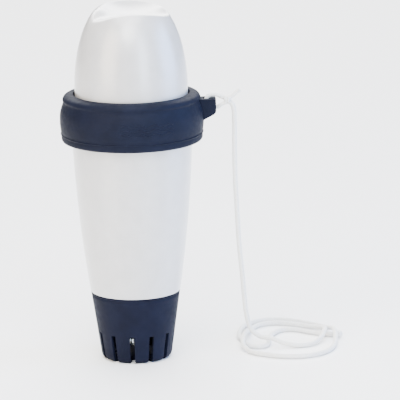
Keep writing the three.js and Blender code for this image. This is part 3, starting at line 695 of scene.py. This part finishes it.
def make_guard():
    slot_spans = 4
    rib_spans = 10
    period = slot_spans + rib_spans
    slot_rows = 20
    pitch = TURN / SLOT_COUNT
    foot = guard_outer(GUARD_ROUNDING) - GUARD_ROUNDING
    bend = [
        (
            foot + GUARD_ROUNDING * math.sin(math.radians(a)),
            GUARD_ROUNDING * (1 - math.cos(math.radians(a))),
        )
        for a in range(0, 91, 9)
    ]
    outer_run = [(SLOT_START, 0), *bend, (guard_outer(SLOT_TOP), SLOT_TOP)]
    inner_bend = [(GUARD_FOOT - 3.6 * MM, GUARD_FLOOR), (GUARD_FOOT - WALL + 0.4 * MM, GUARD_FLOOR + 2 * MM)]
    inner_run = [(SLOT_START, GUARD_FLOOR), *inner_bend, (guard_outer(SLOT_TOP) - WALL, SLOT_TOP)]

    def resampled(points):
        spots = [Vector((r, z, 0)) for r, z in points]
        total = sum((b - a).length for a, b in zip(spots, spots[1:]))
        return [(p.x, p.y) for p in even_line(spots, total / slot_rows)]

    neck_room = gasket_low.z - GAP
    ledge = 2.5 * MM
    guard_bore = neck_radius + 0.35 * MM
    ledge_radius = guard_bore - 3 * MM
    ledge_foot = neck_room - ledge - 1.5 * MM
    line_height = guard_top - 1.4 * MM
    line_half = 0.35 * MM
    wall_up = flank(guard_outer, SLOT_TOP, line_height - line_half, 15)[1:]
    wall_up += [(guard_outer(line_height) - line_half, line_height)]
    wall_up += flank(guard_outer, line_height + line_half, guard_top, 1)
    rim_down = [
        (guard_bore, guard_top), (guard_bore, neck_room), (ledge_radius, neck_room),
        (ledge_radius, neck_room - ledge), (guard_outer(ledge_foot) - WALL, ledge_foot),
    ]
    inner_down = flank(lambda z: guard_outer(z) - WALL, ledge_foot, SLOT_TOP, 8)[1:-1]
    hub = [(SLOT_START * share, 0) for share in (0.35, 0.7)]
    outer_rows = resampled(outer_run)
    inner_rows = resampled(inner_run)[::-1]
    rows = hub + outer_rows + wall_up + rim_down + inner_down + inner_rows
    rows += [(r, GUARD_FLOOR) for r, _ in hub[::-1]]
    outer_first = len(hub)
    inner_last = len(rows) - len(hub) - 1

    def column_angle(column, r):
        half = math.asin(SLOT_WIDTH / 2 / max(r, SLOT_START))
        slot, place = divmod(column, period)
        centre = FIRST_SLOT + pitch * slot
        if place < slot_spans:
            return centre - half + 2 * half * place / slot_spans
        return centre + half + (pitch - 2 * half) * (place - slot_spans) / rib_spans

    columns = SLOT_COUNT * period
    vertices = []
    for r, z in rows:
        for column in range(columns):
            angle = column_angle(column, r)
            vertices.append((r * math.cos(angle), r * math.sin(angle), z))
    foot_middle = len(vertices)
    vertices += [(0, 0, 0), (0, 0, GUARD_FLOOR)]

    def vertex(row, column):
        return row * columns + column % columns

    def is_open(row, column):
        on_outer = outer_first <= row < outer_first + slot_rows
        on_inner = inner_last - slot_rows <= row < inner_last
        return column % period < slot_spans and (on_outer or on_inner)

    faces = []
    for row in range(len(rows) - 1):
        for column in range(columns):
            if not is_open(row, column):
                faces.append((
                    vertex(row, column), vertex(row, column + 1),
                    vertex(row + 1, column + 1), vertex(row + 1, column),
                ))
    for column in range(columns):
        faces.append((foot_middle, vertex(0, column + 1), vertex(0, column)))
        faces.append((foot_middle + 1, vertex(len(rows) - 1, column), vertex(len(rows) - 1, column + 1)))
    for slot in range(SLOT_COUNT):
        start = slot * period
        for step in range(slot_rows):
            outer = outer_first + step
            inner = inner_last - step
            for column in (start, start + slot_spans):
                faces.append((
                    vertex(outer, column), vertex(outer + 1, column),
                    vertex(inner - 1, column), vertex(inner, column),
                ))
        for step in (0, slot_rows):
            for column in range(start, start + slot_spans):
                faces.append((
                    vertex(outer_first + step, column), vertex(outer_first + step, column + 1),
                    vertex(inner_last - step, column + 1), vertex(inner_last - step, column),
                ))
    guard = new_piece(
        "guard_cup", (vertices, faces), navy_guard, "guard", ["sensor_guard"], sharp=180
    )
    soften(guard, 0.35 * MM)


def soften(piece, width, segments=3):
    """Small rounds on the sharp edges of a piece or of a CAD node."""
    bevel = piece.modifiers.new("edges", "BEVEL")
    bevel.width = width
    bevel.segments = segments
    bevel.limit_method = "ANGLE"
    bevel.angle_limit = math.radians(50)
    bevel.harden_normals = True


make_guard()


# ---- Bumper ring and its lug -------------------------------------------------------------------

# The ring's outer side as (inward from its widest point, up from its foot) in millimetres, from the
# rounded foot, over the parting bead, the crown and the groove, to the rounded top.
RING_SIDE = [
    (3.6, 0), (1.9, 0.45), (1.1, 1.5), (0.9, 3.2), (0.9, 5.0), (0.42, 5.35), (0.4, 5.65), (0.85, 6.0),
    (0.5, 8), (0.15, 11), (0, 14), (0.1, 18), (0.35, 20.5), (0.9, 22.8), (1.7, 25.2), (2.3, 27), (2.45, 28.2),
    (2.15, 29.3), (2.4, 30.5), (3.3, 31.8), (5.0, 32.8), (7.0, 33.3), (9.0, 33.45),
]


def ring_side():
    points = [(ring_outer - inward * MM, body_top + up * MM, 0) for inward, up in RING_SIDE]
    return [(p.x, p.y) for p in smooth_line(points, 4)]


def ring_surface(z):
    """The ring's outer radius at a height."""
    side = ring_side()
    for (r0, z0), (r1, z1) in zip(side, side[1:]):
        if z0 <= z <= z1:
            return r0 + (r1 - r0) * (z - z0) / max(z1 - z0, 1e-9)
    raise ValueError("that height is above or below the ring")


def extruded(outline, half_width):
    """Vertices and faces of a plate about the XZ plane from a closed (x, z) outline."""
    count = len(outline)
    vertices = [(x, y, z) for y in (-half_width, half_width) for x, z in outline]
    faces = [tuple(range(count)), tuple(range(2 * count - 1, count - 1, -1))]
    faces += [(i, (i + 1) % count, count + (i + 1) % count, count + i) for i in range(count)]
    return vertices, faces


def cut_away(piece, shape):
    """Cuts a (vertices, faces) shape out of a piece's mesh."""
    tool_mesh = bpy.data.meshes.new("tool")
    vertices, faces = shape
    tool_mesh.from_pydata(vertices, [], faces)
    work = bmesh.new()
    work.from_mesh(tool_mesh)
    bmesh.ops.recalc_face_normals(work, faces=work.faces)
    work.to_mesh(tool_mesh)
    work.free()
    tool = bpy.data.objects.new("tool", tool_mesh)
    bpy.context.scene.collection.objects.link(tool)
    boolean = piece.modifiers.new("cut", "BOOLEAN")
    boolean.operation = "DIFFERENCE"
    boolean.object = tool
    boolean.solver = "EXACT"
    bpy.context.view_layer.update()
    evaluated = piece.evaluated_get(bpy.context.evaluated_depsgraph_get())
    made = bpy.data.meshes.new_from_object(evaluated)
    piece.modifiers.remove(boolean)
    piece.data = made
    bpy.data.objects.remove(tool)


def make_ring():
    topmost = collar_radius + 0.35 * MM
    flange_room = flange_radius + 0.35 * MM
    outline = [
        (ring_bore, body_top), *ring_side(), (topmost, ring_top), (topmost, flange_top + FIT),
        (flange_room, flange_top + FIT), (flange_room, flange_bottom - FIT),
        (ring_bore, flange_bottom - FIT),
    ]
    shape = lathe(rounded(outline, 0.4 * MM), 224)
    new_piece("bumper_ring", shape, navy_ring, "collar", ["fastening_ring"])


def make_lug():
    top = ring_top - LUG_TOP_DROP
    bottom = top - LUG_DEPTH
    root = ring_outer - 4 * MM
    chamfer = 1.6 * MM
    heel = 4.6 * MM
    side = [
        (root, top), (lug_end - chamfer * 0.4, top), (lug_end, top - chamfer), (lug_end, bottom + 1.2 * MM),
        (lug_end - chamfer, bottom - 0.4 * MM), (ring_outer - 1 * MM, bottom - heel), (root, bottom - heel),
    ]
    lug = new_piece("tether_lug", extruded(rounded(side, 1 * MM), LUG_WIDTH / 2), navy_ring, "collar",
                    sharp=180)
    eye_inner = lug_end - CROSSBAR - EYE_WIDTH
    eye_outer = eye_inner + EYE_WIDTH
    eye_floor = bottom + 1.6 * MM
    crossbar_low = top - CROSSBAR
    past = 1 * MM
    eye = [
        (eye_inner, top + past), (eye_inner, eye_floor), (lug_end + past, eye_floor),
        (lug_end + past, crossbar_low), (eye_outer, crossbar_low), (eye_outer, top + past),
    ]
    cut_away(lug, extruded(rounded(eye, 0.9 * MM), EYE_WIDTH / 2))
    soften(lug, 0.55 * MM, 4)


def make_wave_mark():
    """A plain wave mark, three low ribs that stand out of the ring's front."""
    middle = math.radians(-76)
    half_span = math.radians(21)
    rib_radius = 0.5 * MM
    waves = 3.5
    swing = 0.85 * MM
    spacing = 3 * MM
    ribs = []
    for row in (-1, 0, 1):
        line = []
        for i in range(141):
            share = i / 140
            angle = middle + half_span * (2 * share - 1)
            z = body_top + 15.6 * MM + row * spacing + swing * math.sin(TURN * waves * share)
            r = ring_surface(z) - 0.14 * MM
            line.append(Vector((r * math.cos(angle), r * math.sin(angle), z)))
        ribs.append(tube(line, rib_radius, sides=12, end_share=0.8))
    new_piece("wave_mark", joined(*ribs), navy_ring, "collar")


make_ring()
make_lug()
make_wave_mark()


# ---- Inner pieces ------------------------------------------------------------------------------

SEAL_THICKNESS = 1.6 * MM
PROBE_BORE = 9.35 * MM


def shifted(shape, x=0, y=0, z=0):
    """A shape's vertices and faces, moved along the axes."""
    vertices, faces = shape
    return [(vx + x, vy + y, vz + z) for vx, vy, vz in vertices], faces


def turned(name, node, outline, material, body="hull", softness=0.25 * MM, sides=128):
    """A smooth round part, turned round the middle of the CAD node that it stands for."""
    low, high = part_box(node)
    shape = lathe(rounded(outline, softness) if softness else outline, sides)
    x, y = (low.x + high.x) / 2, (low.y + high.y) / 2
    return new_piece(name, shifted(shape, x, y), material, body, [node])


def make_seals():
    sides = 20
    for name, node, body in (
        ("probe_seal", "probe_o_ring", "hull"),
        ("bulkhead_seal", "bulkhead_o_ring", "hull"),
        ("dome_seal_ring", "dome_o_ring", "dome_seal"),
    ):
        low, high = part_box(node)
        half = SEAL_THICKNESS / 2
        middle, height = high.x - half, (low.z + high.z) / 2
        section = [
            (middle + half * math.cos(TURN * i / sides), height + half * math.sin(TURN * i / sides))
            for i in range(sides)
        ]
        turned(name, node, section, seal, body, 0)
    inner, outer = neck_radius - 2.35 * MM, gasket_high.x
    turned("guard_seal_ring", "guard_gasket", [
        (inner, gasket_low.z), (outer, gasket_low.z), (outer, gasket_high.z), (inner, gasket_high.z),
    ], seal, "guard_seal", 0.4 * MM)


def screw_shape(length):
    """A pan-head screw along Z from its tip at 0, with a thread and a six-sided socket in its head."""
    shank, thread, pitch = 0.95 * MM, 0.18 * MM, 0.45 * MM
    head, head_height = 1.9 * MM, 1.4 * MM
    socket, socket_depth = 0.75 * MM, 0.8 * MM
    neck = length - head_height

    def hexagon(z, grow=0.0):
        def at(angle):
            return (socket + grow) / math.cos(angle % (TURN / 6) - TURN / 12), z
        return at

    outline = [(0, 0), (shank * 0.5, 0)]
    z = pitch
    while z < neck - pitch:
        outline += [(shank - thread, z), (shank, z + pitch / 2)]
        z += pitch
    outline += [
        (shank - thread, neck - pitch / 2), (shank, neck), (head - 0.1 * MM, neck), (head, neck + 0.15 * MM),
    ]
    crown = [
        (head * math.cos(t), neck + 0.5 * MM + (head_height - 0.5 * MM) * math.sin(t))
        for t in (0.0, 0.3, 0.6, 0.85)
    ]
    outline += [*crown, hexagon(length, 0.1 * MM), hexagon(length - 0.1 * MM), hexagon(length - socket_depth)]
    return lathe([*outline, (0, length - socket_depth)], 36)


def make_screws():
    for i in range(3):
        low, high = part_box(f"bulkhead_screw_{i + 1}")
        x, y = (low.x + high.x) / 2, (low.y + high.y) / 2
        shape = shifted(screw_shape(high.z - low.z), x, y, low.z)
        new_piece(f"bulkhead_bolt_{i + 1}", shape, steel, "hull", [f"bulkhead_screw_{i + 1}"])
    for i in range(4):
        low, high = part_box(f"board_screw_{i + 1}")
        vertices, faces = screw_shape(high.y - low.y)
        x, z = (low.x + high.x) / 2, (low.z + high.z) / 2
        vertices = [(vx + x, vz + low.y, z - vy) for vx, vy, vz in vertices]
        new_piece(f"board_bolt_{i + 1}", (vertices, faces), steel, "hull", [f"board_screw_{i + 1}"])


def make_bulkhead():
    plug = neck_bore - FIT
    seat = bulkhead_high.z - 3 * MM
    disc = turned("bulkhead_disc", "sensor_bulkhead", [
        (PROBE_BORE, bulkhead_low.z), (plug, bulkhead_low.z), *groove(plug, bulkhead_low.z + 4.5 * MM),
        (plug, seat), (bulkhead_high.x, seat), (bulkhead_high.x, bulkhead_high.z),
        (PROBE_BORE, bulkhead_high.z),
    ], graphite, softness=0.35 * MM)
    wells = []
    for i in range(3):
        low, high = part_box(f"bulkhead_screw_{i + 1}")
        head_seat = high.z - 1.7 * MM
        well = [
            (0, seat - MM), (1.3 * MM, seat - MM), (1.3 * MM, head_seat), (2.2 * MM, head_seat),
            (2.2 * MM, high.z + MM), (0, high.z + MM),
        ]
        wells.append(shifted(lathe(well, 40), (low.x + high.x) / 2, (low.y + high.y) / 2))
    cut_away(disc, joined(*wells))


def make_probe():
    low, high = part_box("probe_body")
    tip = low.z
    grip_bottom = tip + 16 * MM
    flange_low = grip_bottom + 8.5 * MM
    flange_high = flange_low + 4.2 * MM
    shoulder = high.z - 5.7 * MM
    tip_radius, grip_radius, shank, plug = 10.5 * MM, 14 * MM, 9 * MM, 5 * MM
    flutes, flute_radius, flute_middle = 8, 2.6 * MM, 15 * MM

    def fluted(z, inset=0.0):
        def at(angle):
            off = (angle + TURN / flutes / 2) % (TURN / flutes) - TURN / flutes / 2
            across = flute_middle * math.sin(off)
            r = grip_radius
            if abs(across) < flute_radius:
                r = min(r, flute_middle * math.cos(off) - math.sqrt(flute_radius ** 2 - across ** 2))
            return r - inset, z
        return at

    nose = rounded([
        (0, tip), (tip_radius - 1.2 * MM, tip), (tip_radius, tip + 1.2 * MM), (tip_radius, grip_bottom),
        (grip_radius, grip_bottom),
    ], 0.8 * MM, closed=False)[:-1]
    grip = [fluted(grip_bottom, 0.6 * MM), fluted(grip_bottom + 0.5 * MM), fluted(flange_low - 2 * MM)]
    head = rounded([
        (grip_radius, flange_low - 1.2 * MM), (grip_radius, flange_low), (high.x, flange_low),
        (high.x, flange_high), (shank, flange_high), *groove(shank, bulkhead_low.z + 6.7 * MM),
        (shank, shoulder), (plug, shoulder), (plug, high.z), (0, high.z),
    ], 0.4 * MM, closed=False)
    body = new_piece(
        "probe_grip", lathe(nose + grip + head, 240), graphite, "hull", ["probe_body"]
    )
    sensors = (
        ("orp_electrode", "orp_pin", gilt, "contact_metal"),
        ("conductivity_electrode_1", "conductivity_pin_1", steel, "steel"),
        ("conductivity_electrode_2", "conductivity_pin_2", steel, "steel"),
        ("temperature_sleeve", "temperature_pin", steel, "steel"),
        ("reference_frit", "reference_junction", ceramic, "ceramic"),
    )
    wells = []
    for name, node, material, slot in sensors:
        pin_low, pin_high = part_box(node)
        r = (pin_high.x - pin_low.x) / 2
        turned(name, node, [
            (0, pin_low.z), (r, pin_low.z), (r, pin_high.z), (0, pin_high.z),
        ], material, softness=0.7 * r, sides=48)
        wells.append(well_round(pin_low, pin_high, r, tip))
    bulb_low, bulb_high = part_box("ph_bulb")
    radius = (bulb_high.x - bulb_low.x) / 2
    stem = radius * 0.7
    middle = bulb_low.z + radius
    ball = [
        (radius * math.sin(math.radians(a)), middle - radius * math.cos(math.radians(a)))
        for a in range(0, 121, 10)
    ]
    turned("ph_glass", "ph_bulb", [
        *ball, (stem, middle + radius * 0.8), (stem, bulb_high.z), (0, bulb_high.z),
    ], clear, softness=0.2 * MM, sides=64)
    wells.append(well_round(bulb_low, bulb_high, stem, tip))
    cut_away(body, joined(*wells))


def well_round(low, high, radius, tip):
    """A round hole for a sensor in the probe's tip, a little wider than it."""
    r = radius + GAP
    hole = lathe([(0, tip - MM), (r, tip - MM), (r, high.z + GAP), (0, high.z + GAP)], 40)
    return shifted(hole, (low.x + high.x) / 2, (low.y + high.y) / 2)


def make_socket_and_ballast():
    low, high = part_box("probe_socket")
    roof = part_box("probe_body")[1].z + GAP
    shoulder = roof - 5.7 * MM
    wall, plug = 12 * MM, 5.3 * MM
    turned("probe_receptacle", "probe_socket", [
        (PROBE_BORE, low.z), (high.x, low.z), (high.x, low.z + 2 * MM), (wall, low.z + 2 * MM),
        (wall, high.z), (0, high.z), (0, roof), (plug, roof), (plug, shoulder), (PROBE_BORE, shoulder),
    ], graphite)
    low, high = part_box("ballast_ring")
    bore = 21 * MM

    def outer(z):
        return body_outer(z) - WALL - 0.8 * MM

    turned("ballast_weight", "ballast_ring", [
        (bore, low.z), *flank(outer, low.z, high.z, 6), (bore, high.z),
    ], iron, softness=0.9 * MM)


def make_cells():
    """Two dry cells: a steel can with its raised cap, in a printed sleeve that laps over both ends."""
    for i in (1, 2):
        low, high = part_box(f"battery_cell_{i}")
        radius = (high.x - low.x) / 2
        film_wall, lap = 0.35 * MM, 2.2 * MM
        can = radius - film_wall
        top = high.z - 1.5 * MM
        cap = 3.2 * MM
        turned(f"cell_sleeve_{i}", f"battery_cell_{i}", [
            (radius - lap, low.z), (radius, low.z), (radius, top), (radius - lap, top),
            (radius - lap, top - film_wall), (can, top - film_wall), (can, low.z + film_wall),
            (radius - lap, low.z + film_wall),
        ], sleeve, softness=0.5 * MM)
        shape = lathe(rounded([
            (0, low.z + 0.25 * MM), (can * 0.7, low.z + 0.25 * MM), (can * 0.75, low.z + 0.5 * MM),
            (can - 0.05 * MM, low.z + 0.5 * MM), (can - 0.05 * MM, top - 0.5 * MM),
            (can * 0.66, top - 0.5 * MM), (can * 0.6, top - 1.1 * MM), (cap + 1.2 * MM, top - 1.1 * MM),
            (cap + 0.6 * MM, top - 0.2 * MM), (cap, top - 0.2 * MM), (cap, high.z), (0, high.z),
        ], 0.4 * MM), 96)
        new_piece(f"cell_can_{i}", shifted(shape, (low.x + high.x) / 2), steel, "hull")


def block(low, high):
    """Vertices and faces of a box between two corners."""
    vertices = [(x, y, z) for x in (low[0], high[0]) for y in (low[1], high[1]) for z in (low[2], high[2])]
    faces = [(0, 1, 3, 2), (4, 6, 7, 5), (0, 4, 5, 1), (2, 3, 7, 6), (0, 2, 6, 4), (1, 5, 7, 3)]
    return vertices, faces


def make_boards():
    low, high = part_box("probe_board")
    disc = high.x
    turned("probe_board_disc", "probe_board", [
        (0, low.z), (disc, low.z), (disc, high.z), (0, high.z),
    ], mask_green, softness=0.15 * MM)
    chips = [
        block((x * MM, y * MM, high.z), ((x + w) * MM, (y + d) * MM, high.z + 1.1 * MM))
        for x, y, w, d in ((-9, -5, 7, 6), (3, -8, 5, 4), (4, 2, 4, 5), (-6, 5, 4, 3))
    ]
    amplifiers = new_piece("probe_board_chips", joined(*chips), epoxy, "hull", sharp=180)
    soften(amplifiers, 0.15 * MM)


def make_board_parts():
    """Small components on the back of the main board, clear of the large ones and of the screws."""
    board_low, board_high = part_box("main_board")
    taken = [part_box(name) for name in ("microcontroller", "radio_shield", "status_led")]
    taken += [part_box(f"board_screw_{i}") for i in range(1, 5)]
    margin = 2.2 * MM
    bodies = []
    caps = []
    while len(bodies) < 46:
        x = random.uniform(board_low.x + 3 * MM, board_high.x - 3 * MM)
        z = random.uniform(board_low.z + 4 * MM, board_high.z - 4 * MM)
        if any(low.x - margin < x < high.x + margin and low.z - margin < z < high.z + margin
               for low, high in taken):
            continue
        taken.append((Vector((x, 0, z)), Vector((x, 0, z))))
        length, width, height = random.choice(((1.6, 0.8, 0.5), (2.0, 1.25, 0.7), (3.2, 1.6, 0.9)))
        half = (length * MM / 2, width * MM / 2)
        if random.random() < 0.5:
            half = half[::-1]
        y = board_high.y
        bodies.append(block((x - half[0], y, z - half[1]), (x + half[0], y + height * MM, z + half[1])))
        end = 0.22 * length * MM
        lip = 0.03 * MM
        along_x = half[0] > half[1]
        for side in (-1, 1):
            cx = x + side * (half[0] - end / 2) * along_x
            cz = z + side * (half[1] - end / 2) * (not along_x)
            hx = (end / 2 if along_x else half[0]) + lip
            hz = (half[1] if along_x else end / 2) + lip
            caps.append(block((cx - hx, y, cz - hz), (cx + hx, y + height * MM + lip, cz + hz)))
    new_piece("board_passives", joined(*bodies), ceramic_brown, "hull", sharp=180)
    new_piece("board_passive_ends", joined(*caps), steel, "hull", sharp=180)
    low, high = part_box("microcontroller")
    legs = []
    count = 9
    for i in range(count):
        offset = (i - (count - 1) / 2) * 1.0 * MM
        x, z = (low.x + high.x) / 2 + offset, (low.z + high.z) / 2 + offset
        half, reach = 0.22 * MM, 1.1 * MM
        y = (board_high.y, board_high.y + 0.5 * MM)
        legs += [
            block((x - half, y[0], low.z - reach), (x + half, y[1], low.z + 0.05 * MM)),
            block((x - half, y[0], high.z - 0.05 * MM), (x + half, y[1], high.z + reach)),
            block((low.x - reach, y[0], z - half), (low.x + 0.05 * MM, y[1], z + half)),
            block((high.x - 0.05 * MM, y[0], z - half), (high.x + reach, y[1], z + half)),
        ]
    new_piece("microcontroller_legs", joined(*legs), steel, "hull", sharp=180)
    low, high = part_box("antenna")
    radius = (high.x - low.x) / 2
    turned("antenna_rod", "antenna", [
        (0, low.z), (radius, low.z), (radius, low.z + 4 * MM), (radius * 0.8, low.z + 5 * MM),
        (radius * 0.8, high.z), (0, high.z),
    ], epoxy, softness=1.2 * MM, sides=48)


def make_ribbon():
    """A flat cable of round cores side by side."""
    low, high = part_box("sensor_ribbon")
    cores, per_core = 12, 8
    middle, half = (low.y + high.y) / 2, (high.y - low.y) / 2
    front = []
    for i in range(cores * per_core + 1):
        share = i / (cores * per_core)
        stand = half * (0.55 + 0.45 * abs(math.sin(math.pi * cores * share)))
        front.append((low.x + (high.x - low.x) * share, stand))
    section = [(x, middle - stand) for x, stand in front] + [(x, middle + stand) for x, stand in front[::-1]]
    count = len(section)
    vertices = [(x, y, z) for z in (low.z, high.z) for x, y in section]
    faces = [tuple(range(count)), tuple(range(2 * count - 1, count - 1, -1))]
    faces += [(i, (i + 1) % count, count + (i + 1) % count, count + i) for i in range(count)]
    new_piece("sensor_flat_cable", (vertices, faces), film, "hull", ["sensor_ribbon"])


def finish_cad_nodes():
    """Procedural materials and softened edges on the CAD nodes that stay."""
    for names, material, edge in (
        (("chassis_frame",), graphite, 0.35 * MM),
        (("main_board",), mask_green, 0.12 * MM),
        (("microcontroller",), epoxy, 0.15 * MM),
        (("radio_shield",), steel, 0.4 * MM),
        (("status_led",), clear, 0.25 * MM),
        (("cell_contact_bottom", "cell_contact_top"), gilt, 0.12 * MM),
    ):
        for name in names:
            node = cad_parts[name]
            node.material_slots[0].material = material
            soften(node, edge)


make_seals()
make_screws()
make_bulkhead()
make_probe()
make_socket_and_ballast()
make_cells()
make_boards()
make_board_parts()
make_ribbon()
finish_cad_nodes()


# ---- Floor and lights --------------------------------------------------------------------------

def make_floor():
    size = 6
    below = -0.02 * MM
    mesh = bpy.data.meshes.new("floor")
    mesh.from_pydata([(-size, -size, below), (size, -size, below), (size, size, below), (-size, size, below)],
                     [], [(0, 1, 2, 3)])
    floor = bpy.data.objects.new("floor", mesh)
    pale = make_material("pale_floor", (0.93, 0.93, 0.93), 0.22, Specular_IOR_Level=0.12)
    mesh.materials.append(pale)
    bpy.context.scene.collection.objects.link(floor)


def softbox(name, place, size, power, color, aim=(0.03, 0, 0.12)):
    """A rectangular light that faces a point, which is the object's middle unless another is given."""
    light = bpy.data.lights.new(name, "AREA")
    light.shape = "RECTANGLE"
    light.size, light.size_y = size
    light.energy = power
    light.color = color
    lamp = bpy.data.objects.new(name, light)
    lamp.location = place
    lamp.rotation_mode = "QUATERNION"
    lamp.rotation_quaternion = (Vector(place) - Vector(aim)).to_track_quat("Z", "Y")
    bpy.context.scene.collection.objects.link(lamp)


def make_world():
    world = bpy.data.worlds.new("studio")
    bpy.context.scene.world = world
    world.use_nodes = True
    background = world.node_tree.nodes["Background"]
    background.inputs["Color"].default_value = (0.95, 0.97, 1.0, 1)
    background.inputs["Strength"].default_value = 0.3


make_floor()
make_world()
softbox("overhead", (0, -0.2, 1.6), (1.5, 1.5), 70, (1, 1, 1))
softbox("front_top", (-0.1, -1.5, 1.5), (1.0, 0.8), 55, (1, 1, 1))
softbox("back_fill", (0, 2.0, 1.7), (3.2, 1.6), 230, (1, 1, 1), (0, 1.3, 0))
softbox("warm_left", (-1.2, -1.15, 0.7), (0.95, 1.3), 46, (1, 0.84, 0.62))
softbox("cool_front", (0.8, -1.5, 0.7), (0.55, 1.3), 34, (0.70, 0.84, 1))
softbox("blue_side", (1.9, -0.1, 0.5), (1.2, 1.4), 80, (0.30, 0.50, 1))
